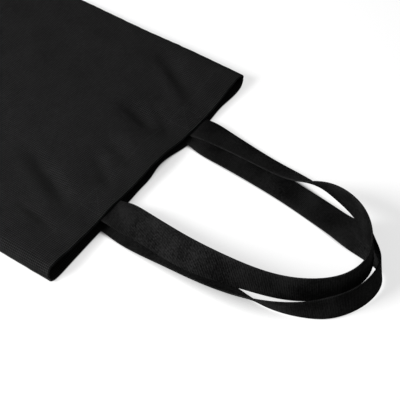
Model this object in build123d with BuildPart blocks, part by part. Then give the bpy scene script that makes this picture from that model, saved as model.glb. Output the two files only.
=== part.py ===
"""Canvas tote bag lying flat on its back panel, mouth and handles towards +Y.

Two canvas panels are sewn together along both sides and the bottom and left open at the
mouth, where each has a folded hem.  Each panel carries one webbing handle, sewn inside its
hem.  The handles hinge at the mouth: both lift together, and the front one folds on further.
Origin: middle of the back panel's underside.  +Z is up, +X is the bag's right-hand side.
"""
from build123d import *
import math
import os

# ---- canvas body ------------------------------------------------------------------------
BAG_WIDTH = 380.0
BAG_LENGTH = 420.0
CANVAS = 1.0                      # thickness of one layer of canvas
MOUTH_HEIGHT_RIGHT = 21.0         # how far the mouth stands open at each side
MOUTH_HEIGHT_LEFT = 13.0
BASE_HEIGHT_RIGHT = 14.0          # height of the bag where it starts to close to its bottom
BASE_HEIGHT_LEFT = 12.0
BOTTOM_HEIGHT = 5.0               # height at the bottom seam
BOTTOM_SLOPE = 40.0               # length over which the bag closes to its bottom seam
SIDE_ROUND = 9.0                  # how far the rounded side edge reaches in
BOTTOM_ROUND = 2.5                # the same at the bottom corners

# ---- hems and seams ---------------------------------------------------------------------
HEM_DEPTH = 34.0
HEM_THICKNESS = 2.0 * CANVAS      # the hem is turned twice, so it adds two layers
HEM_SEAT = 0.1                    # between a hem and its panel
SEAM_ALLOWANCE = 10.0
SEAM_THICKNESS = 2.0 * CANVAS     # both panels' allowances lie together inside the bag
SEAM_CLEARANCE = 0.45             # between an allowance and the inside of the panels
SEAM_END_GAP = 0.95               # between the bottom seam and the ends of the side seams

# ---- handles ----------------------------------------------------------------------------
STRAP_WIDTH = 35.0
STRAP_THICKNESS = 2.0
SEWN_LENGTH = 36.0                # length of strap sewn inside the hem
STRAP_SEAT = 0.1                  # between a sewn strap end and its hem
FRONT_STRAP_X = (84.0, -84.0)     # middle of each sewn end, right one first
BACK_STRAP_X = (88.0, -74.5)
HINGE_REACH = 0.9                 # both handles lift about a line this far past the mouth
FOLD_REACH = 13.5                 # and the front one folds on about a line out here
HINGE_GAP = 0.6                   # between the stretches of strap on either side of a line
STRAP_FROM = HINGE_REACH + HINGE_GAP / 2
FOLD_FROM = FOLD_REACH + HINGE_GAP / 2
CROSSING = 0.72 * STRAP_WIDTH     # height of the front handle where it crosses the back one,
                                  # which is turning up on its edge there
LEANING = 0.46 * STRAP_WIDTH      # the same where its right leg leans on the back one's

# Each station along a handle gives the middle of the strap: x, reach beyond the mouth, the
# height of the strap's lowest edge above the ground, and its tilt in degrees, where + lifts
# the edge inside the loop and - lifts the edge outside it.
FRONT_LOOP = [
    (82.5, FOLD_FROM, 11.4, 12),
    (82.6, 36, 8.4, 29),
    (87, 72, LEANING - 5.8, 43),
    (91, 108, LEANING - 0.1, 50),
    (89, 144, LEANING + 0.9, 63),
    (82, 180, LEANING - 1.5, 76),
    (71, 215, 13.6, 81),
    (53, 248, 15.5, 83),
    (28, 270.5, CROSSING - 6.2, 83),
    (3, 278, CROSSING - 2.2, 80),
    (-19.8, 270.2, CROSSING + 0.7, 81),
    (-41.2, 252.1, CROSSING + 0.6, 86),
    (-60, 226, CROSSING - 4.4, 80),
    (-73, 192, 12.5, 67),
    (-77, 156, 6.5, 42),
    (-80, 110, 3, 27),
    (-83, 66, 3, 20),
    (-84, 34, 5.6, 10),
    (-84, FOLD_FROM, 7.6, 5),
]
BACK_LOOP = [
    (88, STRAP_FROM, 3.2, 0),
    (89.7, 20.5, 1.8, 0),
    (91.7, 50, 0.5, -7),
    (92.8, 85, 0.4, -18),
    (93.8, 126, 0.8, -29),
    (93.7, 161, 1, -41),
    (91.7, 196, 0.5, -59),
    (83.6, 225.4, 0.8, -74.5),
    (71.6, 247.5, 1.1, -86),
    (57, 264.9, 1.5, -96),
    (34.8, 280.6, 1.8, -100),
    (12.7, 288.2, 2.6, -102),
    (-18.6, 284.3, 2.8, -98),
    (-32.7, 265.9, 0.8, -78),
    (-43.2, 246, 0.5, -45),
    (-50.2, 226.2, 2.2, -13.5),
    (-56.5, 199.5, 0.9, -4),
    (-63.4, 151, 0.6, 0),
    (-67.3, 100, 0.4, 1),
    (-69.3, 50, 0.6, 1),
    (-71.6, 21, 1.4, -1),
    (-74.5, STRAP_FROM, 3.2, 0),
]

# ---- sewing thread ----------------------------------------------------------------------
THREAD = 0.7                      # width of a stitch line
THREAD_RISE = 0.4                 # how far it stands on the cloth
THREAD_SEAT = 0.08                # between a stitch line and the cloth under it
HEM_STITCH_INSET = 31.5           # stitch line to mouth edge
BOX_STITCH = 28.0                 # side of the crossed square that holds a strap end
BOX_STITCH_INSET = 4.0            # square to mouth edge
STITCH_BREAK = 2.0                # a hem line stops this far outside a crossed square
SEAM_STITCH_INSET = 7.0           # stitch line to the outer edge of an allowance

MOUTH_Y = BAG_LENGTH / 2
BOTTOM_Y = -BAG_LENGTH / 2
BASE_Y = BOTTOM_Y + BOTTOM_SLOPE


# ---- canvas body ------------------------------------------------------------------------
def side_heights(y):
    """Height of the bag at its left and right side, and the reach of its side rounding."""
    if y >= BASE_Y:
        along = (y - BASE_Y) / (MOUTH_Y - BASE_Y)
        left = BASE_HEIGHT_LEFT + along * (MOUTH_HEIGHT_LEFT - BASE_HEIGHT_LEFT)
        right = BASE_HEIGHT_RIGHT + along * (MOUTH_HEIGHT_RIGHT - BASE_HEIGHT_RIGHT)
        return left, right, SIDE_ROUND
    along = (y - BOTTOM_Y) / (BASE_Y - BOTTOM_Y)
    left = BOTTOM_HEIGHT + along * (BASE_HEIGHT_LEFT - BOTTOM_HEIGHT)
    right = BOTTOM_HEIGHT + along * (BASE_HEIGHT_RIGHT - BOTTOM_HEIGHT)
    return left, right, BOTTOM_ROUND + along * (SIDE_ROUND - BOTTOM_ROUND)


def top_height(x, y):
    """Height of the front panel's outer face between its rounded sides."""
    left, right, reach = side_heights(y)
    span = BAG_WIDTH - 2 * reach
    return left + (x + span / 2) / span * (right - left)


def across_plane(y):
    """Plane across the bag at y, with its own x to the right and its own y up."""
    return Plane(origin=(0, y, 0), x_dir=(1, 0, 0), z_dir=(0, -1, 0))


def panel_section(y, front):
    """One layer of canvas, half the bag's outline, from side seam to side seam."""
    left, right, reach = side_heights(y)
    half = BAG_WIDTH / 2
    seam_left = left / 2
    seam_right = right / 2
    face_left = left if front else 0.0
    face_right = right if front else 0.0
    inward = -CANVAS if front else CANVAS
    with BuildSketch(across_plane(y)) as section:
        with BuildLine():
            Bezier((-half, seam_left), (-half, face_left), (-half + reach, face_left))
            Line((-half + reach, face_left), (half - reach, face_right))
            Bezier((half - reach, face_right), (half, face_right), (half, seam_right))
            Line((half, seam_right), (half - CANVAS, seam_right))
            Bezier(
                (half - CANVAS, seam_right),
                (half - CANVAS, face_right + inward),
                (half - reach, face_right + inward),
            )
            Line((half - reach, face_right + inward), (-half + reach, face_left + inward))
            Bezier(
                (-half + reach, face_left + inward),
                (-half + CANVAS, face_left + inward),
                (-half + CANVAS, seam_left),
            )
            Line((-half + CANVAS, seam_left), (-half, seam_left))
        make_face()
    return section.sketch


PANEL_STATIONS = (BOTTOM_Y, BASE_Y, MOUTH_Y)

with BuildPart() as front_panel:
    loft([panel_section(y, front=True) for y in PANEL_STATIONS], ruled=True)

with BuildPart() as back_panel:
    loft([panel_section(y, front=False) for y in PANEL_STATIONS], ruled=True)


# ---- hems -------------------------------------------------------------------------------
def band_section(y, x_from, x_to, depth, thickness):
    """Flat band under the front panel's top, its upper face depth below the outer face."""
    from_top = top_height(x_from, y) - depth
    to_top = top_height(x_to, y) - depth
    with BuildSketch(across_plane(y)) as section:
        with BuildLine():
            Polyline(
                (x_from, from_top),
                (x_to, to_top),
                (x_to, to_top - thickness),
                (x_from, from_top - thickness),
                close=True,
            )
        make_face()
    return section.sketch


HEM_HALF = BAG_WIDTH / 2 - SIDE_ROUND
HEM_IN = CANVAS + HEM_SEAT
INNER_FACE = HEM_IN + HEM_THICKNESS

with BuildPart() as front_hem:
    hem_from = band_section(MOUTH_Y - HEM_DEPTH, -HEM_HALF, HEM_HALF, HEM_IN, HEM_THICKNESS)
    hem_to = band_section(MOUTH_Y, -HEM_HALF, HEM_HALF, HEM_IN, HEM_THICKNESS)
    loft([hem_from, hem_to], ruled=True)

with BuildPart() as back_hem:
    with Locations((0, MOUTH_Y - HEM_DEPTH / 2, HEM_IN + HEM_THICKNESS / 2)):
        Box(2 * HEM_HALF, HEM_DEPTH, HEM_THICKNESS)


# ---- seam allowances inside the bag -----------------------------------------------------
def side_seam_section(y, side):
    """Both allowances of one side seam, lying inwards at half the bag's height."""
    left, right, _ = side_heights(y)
    middle = (right if side > 0 else left) / 2
    edge = BAG_WIDTH / 2 - CANVAS - SEAM_CLEARANCE
    with BuildSketch(across_plane(y)) as section:
        with Locations((side * (edge - SEAM_ALLOWANCE / 2), middle)):
            Rectangle(SEAM_ALLOWANCE, SEAM_THICKNESS)
    return section.sketch


BOTTOM_SEAM_FROM = BOTTOM_Y + CANVAS / 2
SIDE_SEAM_START = BOTTOM_SEAM_FROM + SEAM_ALLOWANCE + SEAM_END_GAP
SIDE_SEAM_STATIONS = (SIDE_SEAM_START, BASE_Y, MOUTH_Y - HEM_DEPTH)

with BuildPart() as left_side_seam:
    loft([side_seam_section(y, side=-1) for y in SIDE_SEAM_STATIONS], ruled=True)

with BuildPart() as right_side_seam:
    loft([side_seam_section(y, side=1) for y in SIDE_SEAM_STATIONS], ruled=True)

BOTTOM_SEAM_LENGTH = BAG_WIDTH - 2 * (BOTTOM_ROUND + CANVAS)

with BuildPart() as bottom_seam:
    with Locations((0, BOTTOM_SEAM_FROM + SEAM_ALLOWANCE / 2, BOTTOM_HEIGHT / 2)):
        Box(BOTTOM_SEAM_LENGTH, SEAM_ALLOWANCE, SEAM_THICKNESS)


# ---- handles ----------------------------------------------------------------------------
OUTWARD = Vector(0, 1, 0)
HOMEWARD = Vector(0, -1, 0)


def strap_sections(stations, leaving, arriving):
    """Sections across webbing that lies through a list of stations."""
    sections = []
    middles = []
    for x, reach, lowest, tilt in stations:
        lift = math.radians(tilt)
        rise = abs(math.sin(lift)) * STRAP_WIDTH / 2 + math.cos(lift) * STRAP_THICKNESS / 2
        middles.append(Vector(x, MOUTH_Y + reach, lowest + rise))
    directions = [leaving]
    for before, after in zip(middles, middles[2:]):
        directions.append((after - before).normalized())
    directions.append(arriving)
    for middle, along, (_, _, _, tilt) in zip(middles, directions, stations):
        level = Vector(0, 0, 1).cross(along).normalized()
        lift = math.radians(tilt)
        across = level * math.cos(lift) + Vector(0, 0, 1) * math.sin(lift)
        across = (across - along * across.dot(along)).normalized()
        with BuildSketch(Plane(origin=middle, x_dir=across, z_dir=along)) as section:
            Rectangle(STRAP_WIDTH, STRAP_THICKNESS)
        sections.append(section.sketch)
    return sections


FRONT_STRAP_DEPTH = INNER_FACE + STRAP_SEAT
SEWN_FROM_Y = MOUTH_Y - SEWN_LENGTH
SEWN_TO_Y = MOUTH_Y + HINGE_REACH - HINGE_GAP / 2


def root_stations(strap_x, fold_station):
    """The front strap from the mouth to its fold line."""
    x, _, lowest, tilt = fold_station
    first = top_height(strap_x, MOUTH_Y) - FRONT_STRAP_DEPTH - STRAP_THICKNESS
    return [(strap_x, STRAP_FROM, first, 0), (x, FOLD_REACH - HINGE_GAP / 2, lowest, tilt)]


def sewn_section(y, strap_x):
    """Section across a front strap end, close under the hem."""
    x_from = strap_x - STRAP_WIDTH / 2
    return band_section(y, x_from, x_from + STRAP_WIDTH, FRONT_STRAP_DEPTH, STRAP_THICKNESS)


with BuildPart() as front_handle_ends:
    for strap_x in FRONT_STRAP_X:
        loft([sewn_section(y, strap_x) for y in (SEWN_FROM_Y, SEWN_TO_Y)], ruled=True)

BACK_STRAP_HEIGHT = INNER_FACE + STRAP_SEAT + STRAP_THICKNESS / 2

with BuildPart() as back_handle_ends:
    for strap_x in BACK_STRAP_X:
        with Locations((strap_x, (SEWN_FROM_Y + SEWN_TO_Y) / 2, BACK_STRAP_HEIGHT)):
            Box(STRAP_WIDTH, SEWN_TO_Y - SEWN_FROM_Y, STRAP_THICKNESS)

with BuildPart() as front_handle_roots:
    right_root = root_stations(FRONT_STRAP_X[0], FRONT_LOOP[0])
    loft(strap_sections(right_root, OUTWARD, OUTWARD), ruled=True)
    left_root = root_stations(FRONT_STRAP_X[1], FRONT_LOOP[-1])
    loft(strap_sections(left_root[::-1], HOMEWARD, HOMEWARD), ruled=True)

with BuildPart() as front_handle:
    loft(strap_sections(FRONT_LOOP, OUTWARD, HOMEWARD))

with BuildPart() as back_handle:
    loft(strap_sections(BACK_LOOP, OUTWARD, HOMEWARD))


# ---- sewing thread ----------------------------------------------------------------------
def front_face(x, y):
    """Outside of the front panel."""
    return top_height(x, y)


def back_hem_face(x, y):
    """Inside of the back hem."""
    return INNER_FACE


def back_strap_face(x, y):
    """Upper side of the back handle's sewn ends."""
    return BACK_STRAP_HEIGHT + STRAP_THICKNESS / 2


def stitch_line(start, end, face):
    """Adds a straight row of stitches from start to end, resting on a face of the cloth."""
    middle_rise = THREAD_SEAT + THREAD_RISE / 2
    first = Vector(start[0], start[1], face(*start) + middle_rise)
    second = Vector(end[0], end[1], face(*end) + middle_rise)
    along = (second - first).normalized()
    sideways = along.cross(Vector(0, 0, 1)).normalized()
    sections = []
    for point in (first, second):
        with BuildSketch(Plane(origin=point, x_dir=sideways, z_dir=along)) as section:
            Rectangle(THREAD, THREAD_RISE)
        sections.append(section.sketch)
    loft(sections, ruled=True)


def crossed_square(strap_x, face):
    """Square of stitches with both diagonals, which holds a strap end."""
    half = BOX_STITCH / 2
    top = MOUTH_Y - BOX_STITCH_INSET
    corners = [
        (strap_x - half, top - BOX_STITCH),
        (strap_x + half, top - BOX_STITCH),
        (strap_x + half, top),
        (strap_x - half, top),
    ]
    for index, corner in enumerate(corners):
        stitch_line(corner, corners[(index + 1) % 4], face)
    stitch_line(corners[0], corners[2], face)
    stitch_line(corners[1], corners[3], face)


def hem_line(y, strap_middles, clear, face):
    """Row of stitches along a hem, broken at each strap."""
    right_x, left_x = strap_middles
    stitch_line((-HEM_HALF, y), (left_x - clear, y), face)
    stitch_line((left_x + clear, y), (right_x - clear, y), face)
    stitch_line((right_x + clear, y), (HEM_HALF, y), face)


HEM_STITCH_Y = MOUTH_Y - HEM_STITCH_INSET

with BuildPart() as front_hem_stitching:
    hem_line(HEM_STITCH_Y, FRONT_STRAP_X, BOX_STITCH / 2 + STITCH_BREAK, front_face)

with BuildPart() as back_hem_stitching:
    hem_line(HEM_STITCH_Y, BACK_STRAP_X, STRAP_WIDTH / 2 + STITCH_BREAK, back_hem_face)

with BuildPart() as front_handle_stitching:
    for strap_x in FRONT_STRAP_X:
        crossed_square(strap_x, front_face)

with BuildPart() as back_handle_stitching:
    for strap_x in BACK_STRAP_X:
        crossed_square(strap_x, back_strap_face)


def seam_face(side):
    """Upper side of a side seam's allowances."""
    def face(_, y):
        left, right, _ = side_heights(y)
        return (right if side > 0 else left) / 2 + SEAM_THICKNESS / 2
    return face


SEAM_STITCH_X = BAG_WIDTH / 2 - CANVAS - SEAM_CLEARANCE - SEAM_STITCH_INSET


def side_seam_stitches(side):
    """Row of stitches along a side seam's allowances, bent where the bag starts to close."""
    x = side * SEAM_STITCH_X
    for first, second in zip(SIDE_SEAM_STATIONS, SIDE_SEAM_STATIONS[1:]):
        stitch_line((x, first), (x, second), seam_face(side))


with BuildPart() as left_seam_stitching:
    side_seam_stitches(-1)

with BuildPart() as right_seam_stitching:
    side_seam_stitches(1)


def bottom_seam_face(x, y):
    """Upper side of the bottom seam's allowances."""
    return BOTTOM_HEIGHT / 2 + SEAM_THICKNESS / 2


BOTTOM_STITCH_Y = BOTTOM_SEAM_FROM + SEAM_STITCH_INSET
BOTTOM_STITCH_HALF = BOTTOM_SEAM_LENGTH / 2 - SEAM_STITCH_INSET

with BuildPart() as bottom_seam_stitching:
    stitch_line(
        (-BOTTOM_STITCH_HALF, BOTTOM_STITCH_Y), (BOTTOM_STITCH_HALF, BOTTOM_STITCH_Y), bottom_seam_face
    )


# ---- written parts ----------------------------------------------------------------------
PIECES = {
    "front_panel": front_panel,
    "back_panel": back_panel,
    "front_hem": front_hem,
    "back_hem": back_hem,
    "left_side_seam": left_side_seam,
    "right_side_seam": right_side_seam,
    "bottom_seam": bottom_seam,
    "front_handle_ends": front_handle_ends,
    "back_handle_ends": back_handle_ends,
    "front_handle_roots": front_handle_roots,
    "front_handle": front_handle,
    "back_handle": back_handle,
    "front_hem_stitching": front_hem_stitching,
    "back_hem_stitching": back_hem_stitching,
    "front_handle_stitching": front_handle_stitching,
    "back_handle_stitching": back_handle_stitching,
    "left_seam_stitching": left_seam_stitching,
    "right_seam_stitching": right_seam_stitching,
    "bottom_seam_stitching": bottom_seam_stitching,
}

os.makedirs("parts", exist_ok=True)
for label, piece in PIECES.items():
    piece.part.label = label
    export_step(piece.part, "parts/" + label + ".step")
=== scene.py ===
"""Canvas tote bag lying on its back panel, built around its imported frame."""
import bpy
import math
import numpy as np
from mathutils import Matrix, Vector


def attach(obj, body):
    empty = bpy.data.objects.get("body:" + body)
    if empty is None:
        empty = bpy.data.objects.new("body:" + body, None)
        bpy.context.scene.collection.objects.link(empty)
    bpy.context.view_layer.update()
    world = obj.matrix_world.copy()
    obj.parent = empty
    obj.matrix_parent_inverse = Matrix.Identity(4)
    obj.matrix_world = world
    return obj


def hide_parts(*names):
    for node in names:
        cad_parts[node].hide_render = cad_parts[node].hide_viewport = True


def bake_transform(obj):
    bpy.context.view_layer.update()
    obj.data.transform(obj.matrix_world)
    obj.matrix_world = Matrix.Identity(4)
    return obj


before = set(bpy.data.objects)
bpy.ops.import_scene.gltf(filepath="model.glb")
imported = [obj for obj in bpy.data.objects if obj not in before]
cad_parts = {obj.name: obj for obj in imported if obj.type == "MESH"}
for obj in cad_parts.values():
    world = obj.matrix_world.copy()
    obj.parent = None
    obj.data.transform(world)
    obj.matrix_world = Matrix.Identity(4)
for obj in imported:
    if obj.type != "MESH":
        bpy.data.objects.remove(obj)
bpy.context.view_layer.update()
bpy.ops.object.select_all(action="DESELECT")
scene = bpy.context.scene

# ---- camera -----------------------------------------------------------------------------
# A studio camera on a tall stand, looking down across the mouth and both handles.  It is
# aimed at a point on the table inside the handles' loops.
CAMERA_PLACE = (0.5450, 0.6541, 0.8150)
CAMERA_AIM = (0.0034, 0.2755, 0.0)


def turn_to(thing, point):
    """Points a camera or a lamp at a place."""
    sight = Vector(point) - thing.location
    thing.rotation_euler = sight.to_track_quat("-Z", "Y").to_euler()


bpy.ops.object.camera_add(location=CAMERA_PLACE)
camera = bpy.context.object
turn_to(camera, CAMERA_AIM)
camera.data.sensor_width = 36.0
camera.data.lens = 81.85
scene.camera = camera


# ---- table and light --------------------------------------------------------------------
# A smooth white table that glows evenly like a back-lit sweep, dimmed as a painted shadow
# where cloth stands close over or beside it.  One soft box stands off the bag's right side,
# in a white room.
class Shade:
    """One shader socket, so that sums on values can be written as Python."""

    def __init__(self, tree, socket):
        self.tree = tree
        self.socket = socket

    def add(self, kind, settings=None, sockets=None, out=0):
        """Adds a node, gives it its settings, then the values or links of its sockets."""
        node = self.tree.nodes.new(kind)
        for name, value in (settings or {}).items():
            setattr(node, name, value)
        for name, value in (sockets or {}).items():
            if isinstance(value, Shade):
                self.tree.links.new(value.socket, node.inputs[name])
            else:
                node.inputs[name].default_value = value
        return Shade(self.tree, node.outputs[out])

    def output(self, number):
        """Another output of the same node."""
        return Shade(self.tree, self.socket.node.outputs[number])

    def sum(self, operation, *values):
        return self.add("ShaderNodeMath", {"operation": operation}, dict(enumerate(values)))

    def __add__(self, other):
        return self.sum("ADD", self, other)

    def __radd__(self, other):
        return self.sum("ADD", other, self)

    def __sub__(self, other):
        return self.sum("SUBTRACT", self, other)

    def __rsub__(self, other):
        return self.sum("SUBTRACT", other, self)

    def __mul__(self, other):
        return self.sum("MULTIPLY", self, other)

    def __rmul__(self, other):
        return self.sum("MULTIPLY", other, self)

    def __truediv__(self, other):
        return self.sum("DIVIDE", self, other)

    def __rtruediv__(self, other):
        return self.sum("DIVIDE", other, self)

    def wave(self):
        return self.sum("SINE", self)

    def size(self):
        return self.sum("ABSOLUTE", self)

    def power(self, exponent):
        return self.sum("POWER", self, exponent)

    def mix(self, low, high):
        """A grey or colour: low where this value is 0 or less, high where it is 1 or more."""
        ends = {0: self, 6: (*low, 1.0), 7: (*high, 1.0)}
        return self.add("ShaderNodeMix", {"data_type": "RGBA"}, ends, out=2)


def new_finish(name, constants):
    """A material with one surface shader, whose fixed sockets are set by name."""
    material = bpy.data.materials.new(name)
    material.use_nodes = True
    surface = material.node_tree.nodes["Principled BSDF"]
    for socket, value in constants.items():
        surface.inputs[socket].default_value = value
    return material, surface, Shade(material.node_tree, None)


def feed(surface, socket, shade):
    surface.id_data.links.new(shade.socket, surface.inputs[socket])


BLACK = (0.0, 0.0, 0.0)
WHITE = (1.0, 1.0, 1.0)
TABLE_SIDE = 12.0
TABLE_TOP = -0.0006               # a hair under the cloth
TABLE_DARK = (0.20, 0.20, 0.20)
TABLE_LIGHT = (0.22, 0.22, 0.22)
TABLE_MOTTLE = 3.0
TABLE_GLOW = 0.66
# painted shadow: how near cloth has to be to dim the table's glow, and how steeply it dims
PAINTED_SHADOW_REACH = 0.05                # how near cloth has to be to dim the glow
PAINTED_SHADOW_STEEPNESS = 2.4
PAINTED_SHADOW_START = 0.35
ROOM_GLOW = 0.55
LAMP_PLACE = (1.0, -0.34, 0.80)
LAMP_AIM = (0.0, 0.15, 0.0)
LAMP_SIDE = 0.6
LAMP_WATTS = 66.0

bpy.ops.mesh.primitive_plane_add(size=TABLE_SIDE, location=(0, 0, TABLE_TOP))
table = bpy.context.object
table.name = "table"
paper, surface, shade = new_finish(
    "white_table",
    {"Roughness": 0.7, "Specular IOR Level": 0.2, "Emission Strength": TABLE_GLOW},
)
place = shade.add("ShaderNodeTexCoord", out=3)
grain = shade.add(
    "ShaderNodeTexNoise", None, {"Vector": place, "Scale": TABLE_MOTTLE, "Detail": 2.0}
)
feed(surface, "Base Color", grain.mix(TABLE_DARK, TABLE_LIGHT))
# painted shadow: ambient occlusion dims the table's glow where cloth stands close over or beside
# it
painted_shadow_openness = shade.add("ShaderNodeAmbientOcclusion", None, {"Distance": PAINTED_SHADOW_REACH}, out=1)
feed(surface, "Emission Color", (painted_shadow_openness * PAINTED_SHADOW_STEEPNESS - PAINTED_SHADOW_START).mix(BLACK, WHITE))
table.data.materials.append(paper)

scene.view_settings.view_transform = "Standard"
room = bpy.data.worlds.new("white_room")
scene.world = room
room.use_nodes = True
room.node_tree.nodes["Background"].inputs["Color"].default_value = (*WHITE, 1.0)
room.node_tree.nodes["Background"].inputs["Strength"].default_value = ROOM_GLOW

bpy.ops.object.light_add(type="AREA", location=LAMP_PLACE)
lamp = bpy.context.object
lamp.name = "key_light"
lamp.data.shape = "SQUARE"
lamp.data.size = LAMP_SIDE
lamp.data.energy = LAMP_WATTS
turn_to(lamp, LAMP_AIM)

# ---- canvas panels ----------------------------------------------------------------------
# Two panels of black plain-weave cotton canvas, sewn together along both sides and the
# bottom and turned right side out.  The front one is rumpled and stands off the back one
# at the mouth, where each is turned in over its hem.
HALF = 0.190
NEAR_SIDE = 0.0015                # how much further the right side seam lies out
NEAR_SIDE_CURVE = 8
MOUTH = 0.210
BOTTOM = -0.210
CANVAS = 0.001
HEM_EDGE = 0.0014                 # radius of the turn at the mouth
HEM_RETURN = 0.004                # how far the turned cloth shows inside

# Height of the front panel's mouth edge from the far corner to the near one.
MOUTH_LINE = [
    (-0.190, 0.0150), (-0.181, 0.0185), (-0.170, 0.0200), (-0.156, 0.0175),
    (-0.134, 0.0145), (-0.112, 0.0118), (-0.090, 0.0112), (-0.069, 0.0112),
    (-0.048, 0.0132), (-0.028, 0.0172), (-0.008, 0.0194), (0.011, 0.0205),
    (0.030, 0.0184), (0.049, 0.0176), (0.067, 0.0194), (0.085, 0.0204),
    (0.103, 0.0194), (0.120, 0.0184), (0.137, 0.0194), (0.154, 0.0206),
    (0.167, 0.0226), (0.176, 0.0236), (0.182, 0.0235), (0.190, 0.0220),
]
MOUTH_FROM = 0.08                 # where the front panel starts to rise to its mouth line
# How far each panel's mouth edge reaches out, and how far the back one lifts off the table.
FRONT_REACH = [
    (-0.190, 0.0), (-0.112, 0.0015), (-0.07, 0.0012), (-0.03, 0.0), (0.190, -0.001),
]
BACK_REACH = [
    (-0.190, -0.0015), (-0.183, 0.0022), (-0.175, 0.0032), (-0.164, 0.0040),
    (-0.154, 0.0034), (-0.142, 0.0022), (-0.132, 0.0017), (-0.108, 0.0035),
    (-0.080, 0.0045), (-0.055, 0.0050), (-0.038, 0.0005), (-0.022, -0.0025),
    (-0.008, -0.003), (0.012, 0.0), (0.033, -0.0003), (0.053, 0.0007),
    (0.108, 0.0005), (0.159, 0.0015), (0.175, 0.0022), (0.190, 0.0010),
]
REACH_FROM = 0.12
BACK_LIFT = [
    (-0.190, 0.0), (-0.045, 0.0), (-0.022, 0.0018), (-0.008, 0.0022), (0.010, 0.0), (0.19, 0.0),
]
LIFT_FROM = 0.15
# Height of each side of the bag, and how far its bend reaches in, from the bottom seam to
# the mouth.
LEFT_HEIGHT = [
    (-0.210, 0.0045), (-0.196, 0.0085), (-0.170, 0.0118), (-0.05, 0.0125), (0.210, 0.0170),
]
RIGHT_HEIGHT = [
    (-0.210, 0.0045), (-0.196, 0.0095), (-0.170, 0.0138), (0.0, 0.0165),
    (0.12, 0.0190), (0.210, 0.0236),
]
SIDE_REACH = [(-0.210, 0.0035), (-0.185, 0.0075), (-0.150, 0.0090), (0.210, 0.0090)]
SIDE_BEND = 0.04                  # share of a panel's width in the bend at each side
LEFT_SEAM = 0.45                  # where each side seam runs, as a share of the side's height
RIGHT_SEAM = 0.32
LEFT_PINCH = 0.0012               # how far each seam's stitches draw the cloth in
RIGHT_PINCH = 0.0019
PINCH_TURN = 0.22
HOLLOW = 0.0012                   # sag of the front panel between its edges
HELD_CURVE = 0.35                 # how soon away from the sides the cloth is free to rumple
CLOSED_HEIGHT = 0.0045            # the front panel lies no lower than this
# Soft dents and ridges of the front panel: two ends, half-width and depth (- for a ridge).
DENTS = [
    ((0.062, 0.066), (0.104, 0.168), 0.0110, 0.0062),
    ((0.080, 0.060), (0.122, 0.160), 0.0100, -0.0016),
    ((0.028, 0.140), (0.060, 0.196), 0.0085, 0.0034),
    ((-0.064, 0.110), (-0.048, 0.176), 0.0115, 0.0058),
    ((-0.082, 0.146), (-0.050, 0.196), 0.0080, 0.0034),
    ((-0.172, 0.085), (-0.112, 0.184), 0.0120, 0.0070),
    ((-0.146, 0.100), (-0.090, 0.190), 0.0120, -0.0026),
    ((-0.020, 0.120), (-0.010, 0.200), 0.0120, -0.0018),
    ((0.002, 0.135), (0.018, 0.196), 0.0080, 0.0022),
    ((0.134, 0.116), (0.142, 0.178), 0.0048, 0.0034),
    ((0.158, 0.020), (0.150, 0.110), 0.0120, 0.0024),
    ((0.020, -0.040), (0.090, 0.060), 0.0220, 0.0030),
    ((-0.130, -0.060), (-0.080, 0.070), 0.0240, 0.0032),
    ((-0.030, -0.150), (0.060, -0.110), 0.0200, 0.0026),
]
DENT_END = 0.42                   # share of a dent's length from its middle to where it fades
DENT_FREE = (MOUTH - 0.002, MOUTH - 0.022)   # the hem is stiff: dents fade out over it
# Low waves in the cloth: height, seed, how many, and the shortest and longest wave.
RUMPLE = (0.00040, 3, 14, 0.030, 0.090)
CREASES = (0.00010, 5, 16, 0.010, 0.022)
SIDE_PUCKER = (0.00022, 7, 10, 0.009, 0.022)
BOTTOM_PUCKER = (0.00033, 9, 10, 0.010, 0.024)
SEAM_DRAW = (0.00018, 10, 9, 0.012, 0.030)
SIDE_WANDER = (0.0006, 12, 5, 0.10, 0.22)
BOTTOM_WANDER = (0.0009, 13, 4, 0.12, 0.26)
# How far the puckers and wanders reach from their seams: shares of the width, and metres.
SIDE_PUCKER_REACH = 0.05
SEAM_DRAW_REACH = 0.03
BOTTOM_PUCKER_REACH = 0.012
BOTTOM_WANDER_REACH = 0.05
SIDE_WANDER_CURVE = 6
# How far to each side a table is read to round its corners off, and with what shares.
ROUNDING = ((-0.008, 0.15), (-0.004, 0.22), (0.0, 0.26), (0.004, 0.22), (0.008, 0.15))


def read_table(table_rows, wanted):
    rows = np.array(table_rows)
    return np.interp(wanted, rows[:, 0], rows[:, 1])


def smooth_table(table_rows, wanted):
    """The table read with its corners rounded off over a few millimetres."""
    total = 0.0
    for shift, share in ROUNDING:
        total = total + share * read_table(table_rows, wanted + shift)
    return total


def ramp(value, start, stop):
    """0 up to start and 1 from stop, with a straight rise between."""
    return np.clip((value - start) / (stop - start), 0, 1)


def rounded(share):
    """A rise from 0 to 1 that starts and stops gently."""
    return share ** 2 * (3 - 2 * share)


def bump_of(distance, width):
    """1 where the distance is 0, falling away over the width."""
    return np.exp(-((distance / width) ** 2))


def waves(kind, x, y=0.0):
    """Sum of seeded low waves in many directions."""
    height, seed, count, shortest, longest = kind
    draw = np.random.default_rng(seed)
    total = np.zeros(np.broadcast(x, y).shape)
    for _ in range(count):
        turn = draw.uniform(0, 2 * math.pi)
        length = draw.uniform(shortest, longest)
        phase = draw.uniform(0, 2 * math.pi)
        across = x * math.cos(turn) + y * math.sin(turn)
        total = total + np.sin(across * 2 * math.pi / length + phase)
    return height * total / math.sqrt(count)


def dent_depth(x, y):
    """How far the front panel is pressed in at each point."""
    total = 0.0
    for (x0, y0), (x1, y1), half_width, depth in DENTS:
        long = math.hypot(x1 - x0, y1 - y0)
        ax, ay = (x1 - x0) / long, (y1 - y0) / long
        along = (x - x0) * ax + (y - y0) * ay
        aside = (y - y0) * ax - (x - x0) * ay
        middle = along / long - 0.5
        total = total + depth * bump_of(aside, half_width) * np.exp(-((middle / DENT_END) ** 4))
    return total * rounded(ramp(y, *DENT_FREE))


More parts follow.
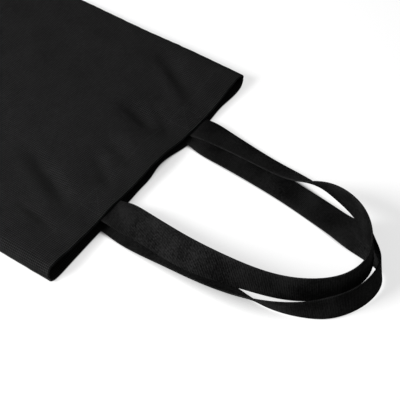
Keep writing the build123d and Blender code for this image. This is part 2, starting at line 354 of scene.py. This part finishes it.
def front_height(x, y, run, left, right):
    """Height of the front panel between its two bends."""
    near_mouth = rounded(ramp(y, MOUTH_FROM, MOUTH))
    plain = left + run * (right - left)
    held = np.sin(math.pi * run) ** HELD_CURVE
    hollow = HOLLOW * np.sin(math.pi * run) * np.sin(math.pi * ramp(y, BOTTOM, MOUTH))
    top = plain * (1 - near_mouth) + smooth_table(MOUTH_LINE, x) * near_mouth - hollow
    top = top + held * (waves(RUMPLE, x, y) + waves(CREASES, x, y) - dent_depth(x, y))
    return np.maximum(top, CLOSED_HEIGHT)


def panel_point(share, y, front):
    """Outer face of a panel: share runs from 0 at the left seam to 1 at the right one."""
    left, right = smooth_table(LEFT_HEIGHT, y), smooth_table(RIGHT_HEIGHT, y)
    reach = read_table(SIDE_REACH, y)
    run = ramp(share, SIDE_BEND, 1 - SIDE_BEND)
    x = (run - 0.5) * 2 * (HALF - reach) + NEAR_SIDE * run ** NEAR_SIDE_CURVE
    if front:
        z = front_height(x, y, run, left, right)
    else:
        z = smooth_table(BACK_LIFT, x) * ramp(y, LIFT_FROM, MOUTH) ** 2
    # each side bends down, or up, to its seam in a quarter of an oval
    for side, height, from_seam, seam_share, pinch, further in (
        (-1, left, share, LEFT_SEAM, LEFT_PINCH, 0.0),
        (1, right, 1 - share, RIGHT_SEAM, RIGHT_PINCH, NEAR_SIDE),
    ):
        turn = np.clip(from_seam / SIDE_BEND, 0, 1) * math.pi / 2
        drawn_in = pinch * bump_of(turn, PINCH_TURN)
        across = HALF - reach * (1 - np.cos(turn)) - drawn_in + further
        seam = seam_share * height
        rise = seam + ((height - seam) if front else -seam) * np.sin(turn)
        bend = from_seam < SIDE_BEND
        x = np.where(bend, side * across, x)
        z = np.where(bend, rise, z)
    # small puckers where the stitches draw the seams in
    to_side = np.minimum(share, 1 - share)
    if front:
        z = z + bump_of(to_side, SIDE_PUCKER_REACH) * waves(SIDE_PUCKER, y)
        z = z + bump_of(y - BOTTOM, BOTTOM_PUCKER_REACH) * waves(BOTTOM_PUCKER, x)
    x = x + np.sign(x) * bump_of(to_side, SEAM_DRAW_REACH) * waves(SEAM_DRAW, y)
    # the seams wander a little, and the mouth edge goes in and out
    aside = np.sign(x) * (np.abs(x) / HALF) ** SIDE_WANDER_CURVE * waves(SIDE_WANDER, y)
    at_bottom = ramp(y, BOTTOM + BOTTOM_WANDER_REACH, BOTTOM) ** 2
    mouth_reach = smooth_table(FRONT_REACH if front else BACK_REACH, x)
    out = mouth_reach * ramp(y, REACH_FROM, MOUTH) ** 2 + at_bottom * waves(BOTTOM_WANDER, x)
    return np.stack([x + aside, y + out, z], axis=-1)


def unit(vectors):
    lengths = np.linalg.norm(vectors, axis=-1, keepdims=True)
    return vectors / np.maximum(lengths, 1e-12)


def run_length(points):
    """Distance along a line of points, from its first one."""
    return np.concatenate([[0], np.cumsum(np.linalg.norm(np.diff(points, axis=0), axis=-1))])


def face_normals(points):
    """Direction across a grid at each of its points."""
    return unit(np.cross(np.gradient(points, axis=1), np.gradient(points, axis=0)))


def sheet_mesh(name, points, across, along):
    """A grid of cloth through rows of points, with its own length and width as its UV map."""
    rows, columns = points.shape[:2]
    bpy.ops.mesh.primitive_grid_add(x_subdivisions=columns - 1, y_subdivisions=rows - 1, size=1)
    cloth = bpy.context.object
    cloth.name = name
    cloth.data.vertices.foreach_set("co", points.reshape(-1, 3).astype(np.float32).ravel())
    corner = np.zeros(len(cloth.data.loops), np.int32)
    cloth.data.loops.foreach_get("vertex_index", corner)
    flat = np.stack(np.broadcast_arrays(across, along), axis=-1).reshape(-1, 2)
    cloth.data.uv_layers[0].data.foreach_set("uv", flat[corner].astype(np.float32).ravel())
    cloth.data.update()
    return cloth


def thicken(piece, name, thickness, **settings):
    """Gives a sheet its thickness, with a Solidify modifier that is then applied."""
    modifier = piece.modifiers.new(name, "SOLIDIFY")
    modifier.thickness = thickness
    for setting, value in settings.items():
        setattr(modifier, setting, value)
    bpy.context.view_layer.objects.active = piece
    bpy.ops.object.modifier_apply(modifier=name)


def shade_smooth(piece, degrees=50):
    bpy.ops.object.select_all(action="DESELECT")
    piece.select_set(True)
    bpy.context.view_layer.objects.active = piece
    bpy.ops.object.shade_smooth_by_angle(angle=math.radians(degrees))
    bpy.ops.object.select_all(action="DESELECT")


def sew_to_bag(piece, finish, node, degrees=50):
    """Gives a piece of the bag itself its finish, and stands it in for its CAD node."""
    shade_smooth(piece, degrees)
    piece.data.materials.append(finish)
    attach(piece, "bag")
    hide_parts(node)


# Mesh rows and columns: most are even, with closer ones in the bends and at the bottom.
PANEL_COLUMNS = 161
BEND_COLUMNS = 8
PANEL_ROWS = 170
BOTTOM_ROWS = 17
BOTTOM_BAND = 0.03
MOUTH_TURN = 9
RETURN_ROWS = 3


def panel_grid(front):
    """Points of a panel from the bottom seam over the turned mouth edge, its lengths across
    and along, its outer face and that face's directions, and the rows' places."""
    share = np.concatenate([
        np.linspace(0, SIDE_BEND, BEND_COLUMNS + 1)[:-1],
        np.linspace(SIDE_BEND, 1 - SIDE_BEND, PANEL_COLUMNS - 2 * BEND_COLUMNS),
        np.linspace(1 - SIDE_BEND, 1, BEND_COLUMNS + 1)[1:],
    ])
    band_top = BOTTOM + BOTTOM_BAND
    y = np.concatenate([
        np.linspace(BOTTOM, band_top, BOTTOM_ROWS + 1)[:-1],
        np.linspace(band_top, MOUTH - HEM_EDGE, PANEL_ROWS - BOTTOM_ROWS),
    ])
    outer = panel_point(share[None, :], y[:, None], front)
    normal = face_normals(outer) if front else -face_normals(outer)
    edge, inward = outer[-1], -normal[-1]
    forward = unit(outer[-1] - outer[-2])
    rows = []
    for turn in np.linspace(0, math.pi, MOUTH_TURN)[1:]:
        ahead, down = HEM_EDGE * math.sin(turn), HEM_EDGE * (1 - math.cos(turn))
        rows.append(edge + forward * ahead + inward * down)
    turned = rows[-1]
    for step in range(1, RETURN_ROWS + 1):
        rows.append(turned - forward * HEM_RETURN * step / RETURN_ROWS)
    points = np.concatenate([outer, np.array(rows)])
    along = run_length(points[:, PANEL_COLUMNS // 2])[:, None]
    across = run_length(points[len(y) // 2])[None, :]
    return points, across, along, outer, normal, y


# Canvas cloth: pairs of threads over and under each other, each pair and each thread a
# little uneven, with patchy dye and a paler bloom on the raised threads.
PAIR_PITCH = 0.0024               # a pair of threads, across the cloth and along it
THREAD_FINE = 620.0
THREAD_LONG = 110.0
THREAD_WOBBLE = 1.5
DYE_PATCHES = 34.0
CANVAS_DARK = (0.0002, 0.0002, 0.0002)
CANVAS_LIGHT = (0.0142, 0.0142, 0.0142)
# How much each shows in the tone, on top of an even middle one, and in the relief.
PAIR_TONE, OVER_TONE, SINGLE_TONE, SLUB_TONE, DRIFT_TONE = 0.95, 0.18, 0.28, 0.75, 0.5
PAIR_RELIEF, OVER_RELIEF, SINGLE_RELIEF, SLUB_RELIEF = 0.5, 0.2, 0.5, 0.7
CANVAS_MIDDLE = 0.51
CANVAS_CONTRAST = 1.8
CANVAS_ROUGH, DRIFT_ROUGH = 0.86, 0.12
CANVAS_DEPTH = 0.0004

canvas_cloth, surface, shade = new_finish(
    "black_canvas", {"Sheen Weight": 0.004, "Sheen Roughness": 0.4, "Specular IOR Level": 0.01}
)
place = shade.add("ShaderNodeUVMap")
x_place = shade.add("ShaderNodeSeparateXYZ", None, {"Vector": place})
y_place = x_place.output(1)
threads = []
for stretch in ((THREAD_FINE, THREAD_LONG, 1.0), (THREAD_LONG, THREAD_FINE, 1.0)):
    run = shade.add("ShaderNodeMapping", None, {"Vector": place, "Scale": stretch})
    noise = shade.add("ShaderNodeTexNoise", None, {"Vector": run, "Scale": 1.0, "Detail": 2.0})
    threads.append(noise - 0.5)
slubs = threads[0] + threads[1]
patches = {"Vector": place, "Scale": DYE_PATCHES, "Detail": 4.0}
drift = shade.add("ShaderNodeTexNoise", None, patches) - 0.5
pair_turn = 2 * math.pi / PAIR_PITCH
warp = (x_place * pair_turn + threads[0] * THREAD_WOBBLE).wave()
weft = (y_place * pair_turn + threads[1] * THREAD_WOBBLE).wave()
over = warp * weft
bulge = (warp + weft) * 0.5
single = (x_place * (2 * pair_turn)).wave() * (y_place * (2 * pair_turn)).wave()
tone = bulge * PAIR_TONE + over * OVER_TONE + single * SINGLE_TONE
tone = tone + slubs * SLUB_TONE + drift * DRIFT_TONE + CANVAS_MIDDLE
feed(surface, "Base Color", tone.power(CANVAS_CONTRAST).mix(CANVAS_DARK, CANVAS_LIGHT))
feed(surface, "Roughness", CANVAS_ROUGH + drift * DRIFT_ROUGH)
height = bulge * PAIR_RELIEF + over * OVER_RELIEF + single * SINGLE_RELIEF + slubs * SLUB_RELIEF
relief = {"Height": height, "Strength": 1.0, "Distance": CANVAS_DEPTH}
feed(surface, "Normal", shade.add("ShaderNodeBump", None, relief))


def make_panel(name, node, front):
    points, across, along, outer, normal, y = panel_grid(front)
    panel = sheet_mesh(name, points, across, along)
    if not front:
        panel.data.flip_normals()
    # the thickness goes towards the inside of the bag
    thicken(panel, "canvas_thickness", CANVAS, offset=-1.0, use_even_offset=False)
    sew_to_bag(panel, canvas_cloth, node)
    return panel, outer, normal, y


front_canvas, front_face, front_normal, panel_y = make_panel("front_canvas", "front_panel", True)
back_canvas, back_face, back_normal, _ = make_panel("back_canvas", "back_panel", False)

# ---- hems -------------------------------------------------------------------------------
# The cloth at each mouth edge is turned in twice, which adds two layers inside the panel,
# held by one row of lockstitch.
HEM_DEPTH = 0.034
HEM_LAYERS = 0.0016
HEM_CLEAR = 0.00015               # air between the layers and their panel
HEM_SIDE_COLUMNS = 7              # columns left out at each side, and rows at the turned edge
HEM_EDGE_ROWS = 2
HEM_MEASURED_COLUMN = 40


def hem_band(name, face, normal, node, front):
    rows = panel_y > MOUTH - HEM_DEPTH
    columns = slice(HEM_SIDE_COLUMNS, -HEM_SIDE_COLUMNS)
    inner = face[rows][:, columns] - normal[rows][:, columns] * (CANVAS + HEM_CLEAR)
    inner = inner[:-HEM_EDGE_ROWS]
    along = run_length(inner[:, HEM_MEASURED_COLUMN])[:, None]
    across = run_length(inner[0])[None, :]
    band = sheet_mesh(name, inner, across, along)
    if not front:
        band.data.flip_normals()
    thicken(band, "hem_layers", HEM_LAYERS, offset=-1.0)
    sew_to_bag(band, canvas_cloth, node)


hem_band("front_hem_turn", front_face, front_normal, "front_hem", True)
hem_band("back_hem_turn", back_face, back_normal, "back_hem", False)

# ---- seam allowances --------------------------------------------------------------------
# Both panels' raw edges lie together inside each side and along the bottom, sewn together
# 10 mm wide.
ALLOWANCE = 0.010
ALLOWANCE_LAYERS = 0.0018
ALLOWANCE_CLEAR = 0.0003          # air between the seam and the allowance
ALLOWANCE_STEPS = 6
ALLOWANCE_WAVE = (0.0003, 21, 8, 0.015, 0.04)
SIDE_SEAM_FROM = 0.012            # the side allowances start this far above the bottom seam
BOTTOM_SIDE_COLUMNS = 10


def face_outwards(piece):
    """Turns every face of a closed piece outwards."""
    bpy.ops.object.select_all(action="DESELECT")
    piece.select_set(True)
    bpy.context.view_layer.objects.active = piece
    bpy.ops.object.mode_set(mode="EDIT")
    bpy.ops.mesh.select_all(action="SELECT")
    bpy.ops.mesh.normals_make_consistent(inside=False)
    bpy.ops.object.mode_set(mode="OBJECT")


def allowance(name, edge, inward, node):
    """A strip of two layers from the inside of a seam inwards."""
    starts = np.arange(ALLOWANCE_STEPS + 1) * ALLOWANCE / ALLOWANCE_STEPS
    points = np.array([edge + inward * (CANVAS + ALLOWANCE_CLEAR + start) for start in starts])
    wave = waves(ALLOWANCE_WAVE, points[..., 0] + points[..., 1])
    points[..., 2] += wave * np.linspace(0, 1, ALLOWANCE_STEPS + 1)[:, None]
    strip = sheet_mesh(name, points, run_length(edge)[None, :], starts[:, None])
    thicken(strip, "two_layers", ALLOWANCE_LAYERS, offset=0.0)
    face_outwards(strip)
    sew_to_bag(strip, canvas_cloth, node)
    return points


seam_rows = (panel_y > BOTTOM + SIDE_SEAM_FROM) & (panel_y < MOUTH - HEM_DEPTH)
to_right, to_left, to_mouth = np.array([[1.0, 0, 0], [-1.0, 0, 0], [0, 1.0, 0]])
left_strip = allowance("left_allowance", front_face[seam_rows, 0], to_right, "left_side_seam")
right_strip = allowance("right_allowance", front_face[seam_rows, -1], to_left, "right_side_seam")
bottom_edge = ((front_face[0] + back_face[0]) / 2)[BOTTOM_SIDE_COLUMNS:-BOTTOM_SIDE_COLUMNS]
bottom_strip = allowance("bottom_allowance", bottom_edge, to_mouth, "bottom_seam")

# ---- webbing handles --------------------------------------------------------------------
# Two lengths of black cotton webbing, 35 mm wide with ribs across it and a firm woven edge.
# Each end is sewn inside the hem; the loops lie on the table, partly up on their edges.
WEBBING = 0.035
WEBBING_THICK = 0.0019
RIB = 0.0018
RIB_RISE = 0.00009
RIB_ROWS = 4                      # mesh rows to a rib
FLAT_POINTS = 9                   # mesh points across each face
EDGE_TURNS = (0.7, 1.57, 2.44)    # angles of the points round each edge, in radians
EDGE_RIB = 0.6                    # the ribs are this much lower at the edges
COURSE_POINTS = 2400
MERGE = 0.00001
WEBBING_SMOOTH = 60
# In millimetres and degrees: x, reach past the mouth, height of the lowest edge, and tilt,
# where + lifts the edge inside the loop and - the edge outside it.
FRONT_COURSE = [
    (84, -36, 14.8, 0), (84, -18, 15.0, 0), (84, -2, 15.2, 0), (83.6, 6.5, 13.9, 5),
    (83.1, 14, 11.8, 14), (83.3, 32, 8.0, 34), (87.1, 71.8, 10.4, 45), (91.1, 108, 16.2, 48),
    (89.2, 144.2, 17.2, 63), (81.8, 179.6, 14.8, 76), (71, 214.8, 13.8, 80.5),
    (52.8, 247.7, 15.6, 84), (28.2, 269.8, 19.3, 87), (3.1, 277.2, 23.3, 82),
    (-19.6, 270.2, 25.8, 80.5), (-40.8, 252.2, 25.4, 87), (-59.8, 225.8, 20.8, 84.5),
    (-72.2, 191, 12.4, 70), (-75.8, 155.7, 6.9, 40), (-79.2, 110, 2.9, 27.5),
    (-82.6, 65.6, 2.9, 20), (-84.1, 35, 5.3, 11), (-84.4, 14, 6.8, 4), (-84.2, 6.5, 6.3, 2),
    (-84, -2, 6.4, 0), (-84, -18, 6.6, 0), (-84, -36, 8.4, 0),
]
BACK_COURSE = [
    (88, -36, 3.1, 0), (88, -18, 3.1, 0), (88, -2, 3.1, 0), (88.2, 3, 2.9, 0.5),
    (89.7, 20.5, 1.8, 1), (91.7, 50, 0.5, -7), (92.8, 85, 0.4, -18), (93.8, 126, 0.8, -29),
    (93.7, 161, 1.0, -40.5), (91.8, 196, 0.5, -59.5), (83.5, 225.3, 0.8, -74.5),
    (71.6, 247.4, 1.1, -86), (57.1, 264.8, 1.5, -96.5), (34.9, 280.5, 1.8, -101),
    (12.8, 288.3, 2.6, -103), (-18.8, 284.2, 2.8, -99), (-32.7, 265.8, 0.8, -79),
    (-43.2, 245.9, 0.5, -46), (-50.3, 226.3, 2.2, -13), (-56.6, 199.5, 0.9, -3.5),
    (-63.5, 151, 0.6, 0.5), (-67.2, 100, 0.4, 2), (-69, 50, 0.6, 2), (-71.4, 21, 1.2, -2),
    (-74.2, 3, 2.9, -1), (-74.5, -2, 3.1, 0), (-74.5, -18, 3.1, 0), (-74.5, -36, 3.1, 0),
]


def through(values, at, wanted):
    """Smooth curve through values at given distances, read at the wanted ones."""
    count, gaps = len(at), np.diff(at)
    bend, right = np.eye(count), np.zeros((count, values.shape[1]))
    for k in range(1, count - 1):
        before, after = gaps[k - 1], gaps[k]
        bend[k, k - 1:k + 2] = before, 2 * (before + after), after
        rise, rise_before = values[k + 1] - values[k], values[k] - values[k - 1]
        right[k] = 6 * (rise / after - rise_before / before)
    bend = np.linalg.solve(bend, right)
    k = np.clip(np.searchsorted(at, wanted) - 1, 0, count - 2)
    gap = gaps[k][:, None]
    part = ((wanted - at[k])[:, None]) / gap
    rest = 1 - part
    line = rest * values[k] + part * values[k + 1]
    curve = (rest ** 3 - rest) * bend[k] + (part ** 3 - part) * bend[k + 1]
    return line + curve * gap ** 2 / 6


def webbing_course(stations):
    """Distance, middle, way along, way to the inner edge and face direction at even steps."""
    x, past_mouth, lowest, tilt = np.array(stations, float).T
    tilt = np.radians(tilt)
    rise = np.abs(np.sin(tilt)) * WEBBING / 2 + np.cos(tilt) * WEBBING_THICK / 2
    middle = [x / 1000, MOUTH + past_mouth / 1000, lowest / 1000 + rise, tilt]
    middle = np.stack(middle, axis=-1)
    at = run_length(middle[:, :3])
    fine = through(middle, at, np.linspace(0, at[-1], COURSE_POINTS))
    at = run_length(fine[:, :3])
    length = np.linspace(0, at[-1], int(round(at[-1] / (RIB / RIB_ROWS))) + 1)
    even = np.stack([np.interp(length, at, fine[:, k]) for k in range(4)], axis=-1)
    point, tilt = even[:, :3], even[:, 3:]
    up = np.array([0, 0, 1.0])
    along = unit(np.gradient(point, axis=0))
    across = unit(np.cross(up, along)) * np.cos(tilt) + up * np.sin(tilt)
    across = unit(across - along * np.sum(across * along, axis=-1, keepdims=True))
    return length, point, along, across, np.cross(along, across)


def webbing_outline():
    """Points round a section of webbing: place across it, height, and share of the ribs."""
    thick = WEBBING_THICK / 2
    middle = WEBBING / 2 - thick
    flat = np.linspace(-middle, middle, FLAT_POINTS)
    ring = [(a, thick, 1.0) for a in flat]
    edge = [(thick * math.sin(t), thick * math.cos(t)) for t in EDGE_TURNS]
    ring += [(middle + aside, up, EDGE_RIB) for aside, up in edge]
    ring += [(a, -thick, 1.0) for a in flat[::-1]]
    ring += [(-middle - aside, -up, EDGE_RIB) for aside, up in edge]
    return np.array(ring + ring[:1])


def webbing_piece(name, course, start=0.0, stop=math.inf):
    """The webbing between two distances along its course, as one closed ribbed mesh."""
    keep = slice(np.searchsorted(course[0], start), np.searchsorted(course[0], stop) + 1)
    length, point, _, across, face = (part[keep] for part in course)
    ring_side, ring_height, ring_rib = webbing_outline().T[:, None, :]
    rib = RIB_RISE * np.cos(length * 2 * math.pi / RIB)
    height = ring_height + np.sign(ring_height) * rib[:, None] * ring_rib
    side = ring_side + 0 * height
    points = point[:, None] + across[:, None] * side[..., None] + face[:, None] * height[..., None]
    strap = sheet_mesh(name, points, side, length[:, None])
    bpy.ops.object.mode_set(mode="EDIT")
    bpy.ops.mesh.select_all(action="SELECT")
    bpy.ops.mesh.remove_doubles(threshold=MERGE)
    bpy.ops.mesh.select_all(action="DESELECT")
    bpy.ops.mesh.select_non_manifold()
    bpy.ops.mesh.edge_face_add()
    bpy.ops.object.mode_set(mode="OBJECT")
    face_outwards(strap)
    shade_smooth(strap, WEBBING_SMOOTH)
    strap.data.materials.append(black_webbing)
    return strap


# Webbing: ribs across, warp lines along, fluff, rubbed patches, and a painted highlight along each
# edge.
WARP_LINES = 0.0011               # width of one
WARP_PUSH = 0.8
FLUFF_SIZE = 420.0
RUBBED_PATCHES = 30.0
# how close to each edge the painted highlight stays
EDGE_HIGHLIGHT_SHARPNESS = 18.0
WEBBING_DARK = (0.0002, 0.0002, 0.0002)
WEBBING_LIGHT = (0.0086, 0.0086, 0.0086)
RIB_TONE, FLUFF_TONE, WEAR_TONE, EDGE_HIGHLIGHT_TONE = 0.85, 1.5, 1.5, 0.2
WARP_RELIEF, FLUFF_RELIEF = 0.5, 0.5
WEBBING_MIDDLE = 0.08
WEBBING_CONTRAST = 1.6
WEBBING_ROUGH, WEAR_ROUGH = 0.78, 0.12
WEBBING_DEPTH = 0.0003

black_webbing, surface, shade = new_finish(
    "black_webbing", {"Sheen Weight": 0.004, "Sheen Roughness": 0.35, "Specular IOR Level": 0.01}
)
place = shade.add("ShaderNodeUVMap")
side = shade.add("ShaderNodeSeparateXYZ", None, {"Vector": place})
run = side.output(1)
fluff = shade.add(
    "ShaderNodeTexNoise", None, {"Vector": place, "Scale": FLUFF_SIZE, "Detail": 3.0}
)
wear = shade.add(
    "ShaderNodeTexNoise", None, {"Vector": place, "Scale": RUBBED_PATCHES, "Detail": 3.0}
)
warp = (side * (math.pi / WARP_LINES)).wave()
rib = (run * (2 * math.pi / RIB) + warp * WARP_PUSH).wave() * 0.5 + 0.5
# painted highlight: the webbing's colour is made lighter towards both its edges
edge = (side.size() / (WEBBING / 2)).power(EDGE_HIGHLIGHT_SHARPNESS)
tone = rib * RIB_TONE + (fluff - 0.5) * FLUFF_TONE + (wear - 0.5) * WEAR_TONE
tone = tone + edge * EDGE_HIGHLIGHT_TONE + WEBBING_MIDDLE
feed(surface, "Base Color", tone.power(WEBBING_CONTRAST).mix(WEBBING_DARK, WEBBING_LIGHT))
feed(surface, "Roughness", WEBBING_ROUGH + wear * WEAR_ROUGH)
height = rib + warp.size() * WARP_RELIEF + fluff * FLUFF_RELIEF
relief = {"Height": height, "Strength": 0.7, "Distance": WEBBING_DEPTH}
feed(surface, "Normal", shade.add("ShaderNodeBump", None, relief))

FRONT_CUT = MOUTH + 0.0065        # where the front handle's loop starts to fold


def length_where(course, y, homeward):
    """Distance along a course where it crosses y, going out or coming home."""
    length, point = course[0], course[1]
    half = len(length) // 2
    part = slice(half, None) if homeward else slice(0, half)
    return length[part][np.abs(point[part, 1] - y).argmin()]


front_course = webbing_course(FRONT_COURSE)
back_course = webbing_course(BACK_COURSE)
front_out = length_where(front_course, FRONT_CUT, False)
front_home = length_where(front_course, FRONT_CUT, True)
front_loop = webbing_piece("front_handle_webbing", front_course, front_out, front_home)
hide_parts("front_handle")
right_end = webbing_piece("front_handle_right_end", front_course, stop=front_out)
left_end = webbing_piece("front_handle_left_end", front_course, start=front_home)
for end in (right_end, left_end):
    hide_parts("front_handle_ends", "front_handle_roots")
back_loop = webbing_piece("back_handle_webbing", back_course)
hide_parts("back_handle", "back_handle_ends")

# ---- stitching --------------------------------------------------------------------------
# Black polyester lockstitch: a row along each hem, a crossed square over each handle end,
# and a row along each seam allowance.
STITCH = 0.0030
STITCH_GAP = 0.0007
STITCH_THICK = 0.00045
STITCH_SUNK = 0.18                # shares of the thread's thickness: its middle over the cloth,
STITCH_FLAT = 0.8                 # and its height, pulled flat
STITCH_STRAY = 0.00006
STITCH_BLUNT = 0.6                # below 1 makes a stitch fuller towards its ends
STITCH_SEED = 31
STITCH_SMOOTH = 60

bpy.ops.mesh.primitive_uv_sphere_add(segments=6, ring_count=5, radius=0.5)
one_stitch = bpy.context.object
bpy.ops.object.mode_set(mode="EDIT")
bpy.ops.mesh.select_all(action="SELECT")
bpy.ops.transform.rotate(value=math.pi / 2, orient_axis="Y", center_override=(0, 0, 0))
bpy.ops.object.mode_set(mode="OBJECT")
stitch_points = np.array([v.co for v in one_stitch.data.vertices])
ends_out = np.abs(2 * stitch_points[:, 0]) ** STITCH_BLUNT / 2
stitch_points[:, 0] = np.sign(stitch_points[:, 0]) * ends_out
stitch_points = stitch_points * np.array([STITCH, STITCH_THICK, STITCH_THICK * STITCH_FLAT])
stitch_faces = [tuple(f.vertices) for f in one_stitch.data.polygons]
bpy.data.objects.remove(one_stitch)

THREAD_DARK = (0.002, 0.002, 0.0022)
THREAD_LIGHT = (0.008, 0.008, 0.0082)
THREAD_FLUFF = 900.0
THREAD_PLY = 700.0
THREAD_ROUGH, THREAD_FLUFF_ROUGH = 0.5, 0.2
THREAD_DEPTH = 0.0001

black_thread, surface, shade = new_finish("black_thread", {"Specular IOR Level": 0.12})
place = shade.add("ShaderNodeTexCoord", out=3)
fluff = shade.add(
    "ShaderNodeTexNoise", None, {"Vector": place, "Scale": THREAD_FLUFF, "Detail": 2.0}
)
feed(surface, "Base Color", fluff.mix(THREAD_DARK, THREAD_LIGHT))
feed(surface, "Roughness", THREAD_ROUGH + fluff * THREAD_FLUFF_ROUGH)
ply = shade.add(
    "ShaderNodeTexWave", {"bands_direction": "DIAGONAL"}, {"Vector": place, "Scale": THREAD_PLY}
)
relief = {"Height": ply, "Strength": 0.4, "Distance": THREAD_DEPTH}
feed(surface, "Normal", shade.add("ShaderNodeBump", None, relief))


def read_rows(rows, distance, wanted):
    """Each column of some rows, read at one distance along them."""
    return np.array([np.interp(wanted, distance, column) for column in rows.T])


def stitch_rows(name, lines, node):
    """Stitches along lines, each a list of points with the cloth's outward direction."""
    vertices, faces = [], []
    draw = np.random.default_rng(STITCH_SEED)
    for line in lines:
        places = np.array([place for place, _ in line])
        ways = np.array([way for _, way in line])
        at = run_length(places)
        count = max(1, int(at[-1] / (STITCH + STITCH_GAP)))
        for k in range(count):
            middle = (k + 0.5) * at[-1] / count
            start = read_rows(places, at, middle - STITCH / 2)
            stop = read_rows(places, at, middle + STITCH / 2)
            along = unit(stop - start)
            up = read_rows(ways, at, middle)
            up = unit(up - along * (up @ along))
            side = np.cross(up, along)
            stray = draw.uniform(-1, 1) * STITCH_STRAY
            centre = (start + stop) / 2 + up * STITCH_THICK * STITCH_SUNK + side * stray
            base = len(vertices)
            vertices.extend((centre + stitch_points @ np.array([along, side, up])).tolist())
            faces.extend([tuple(base + i for i in face) for face in stitch_faces])
    mesh = bpy.data.meshes.new(name)
    mesh.from_pydata(vertices, [], faces)
    thread = bpy.data.objects.new(name, mesh)
    scene.collection.objects.link(thread)
    sew_to_bag(thread, black_thread, node, STITCH_SMOOTH)


def read_face(face, normal, x, y):
    """Point and outward direction on a panel's outer face over x and y of the flat part."""
    row = np.interp(y, panel_y, np.arange(len(panel_y)))
    low = int(min(row, len(panel_y) - 2))
    part = row - low
    point, way = np.zeros(3), np.zeros(3)
    for k, weight in ((low, 1 - part), (low + 1, part)):
        point += weight * read_rows(face[k], face[k, :, 0], x)
        way += weight * read_rows(normal[k], face[k, :, 0], x)
    return point, unit(way)


LINE_STEP = 0.004                 # spacing of the points that a row of stitches follows
HEM_STITCH_Y = MOUTH - 0.0315
HEM_ROW_END = 0.180
SQUARE = 0.028
SQUARE_TOP = MOUTH - 0.004
# Each panel's face and its two handle ends, and how far from those its row stops.
FRONT_SEWING = (front_face, front_normal, (0.084, -0.084))
BACK_SEWING = (back_face, back_normal, (0.088, -0.0745))
FRONT_ROW_CLEAR = 0.016
BACK_ROW_CLEAR = 0.0195


def on_panel(face, normal, x0, y0, x1, y1):
    """A line over a panel's outer face from one place to another."""
    count = max(2, int(math.hypot(x1 - x0, y1 - y0) / LINE_STEP))
    return [
        read_face(face, normal, x0 + part * (x1 - x0), y0 + part * (y1 - y0))
        for part in np.linspace(0, 1, count)
    ]


def crossed_squares(face, normal, straps):
    """Four sides and two diagonals over each handle end."""
    lines = []
    for x in straps:
        low, high = SQUARE_TOP - SQUARE, SQUARE_TOP
        left, right = x - SQUARE / 2, x + SQUARE / 2
        corners = [(left, low), (right, low), (right, high), (left, high)]
        for a, b in ((0, 1), (1, 2), (2, 3), (3, 0), (0, 2), (1, 3)):
            lines.append(on_panel(face, normal, *corners[a], *corners[b]))
    return lines


def hem_rows(face, normal, straps, clear):
    """Three stretches of a row: beside, between and beside the handle ends."""
    right, left = straps
    spans = (
        (-HEM_ROW_END, left - clear), (left + clear, right - clear), (right + clear, HEM_ROW_END)
    )
    return [on_panel(face, normal, a, HEM_STITCH_Y, b, HEM_STITCH_Y) for a, b in spans]


def middle_row(points):
    """A line along the middle of an allowance, on its upper layer."""
    up = np.array([0, 0, 1.0])
    return [(point + up * ALLOWANCE_LAYERS / 2, up) for point in points[ALLOWANCE_STEPS // 2]]


stitch_rows("front_hem_stitches", hem_rows(*FRONT_SEWING, FRONT_ROW_CLEAR), "front_hem_stitching")
stitch_rows("back_hem_stitches", hem_rows(*BACK_SEWING, BACK_ROW_CLEAR), "back_hem_stitching")
stitch_rows("front_handle_stitches", crossed_squares(*FRONT_SEWING), "front_handle_stitching")
stitch_rows("back_handle_stitches", crossed_squares(*BACK_SEWING), "back_handle_stitching")
stitch_rows("left_seam_stitches", [middle_row(left_strip)], "left_seam_stitching")
stitch_rows("right_seam_stitches", [middle_row(right_strip)], "right_seam_stitching")
stitch_rows("bottom_seam_stitches", [middle_row(bottom_strip)], "bottom_seam_stitching")

# ---- handles' placement -----------------------------------------------------------------
# Each piece of webbing has its placement written into its mesh.
for end in (right_end, left_end):
    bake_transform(end)
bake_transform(back_loop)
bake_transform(front_loop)
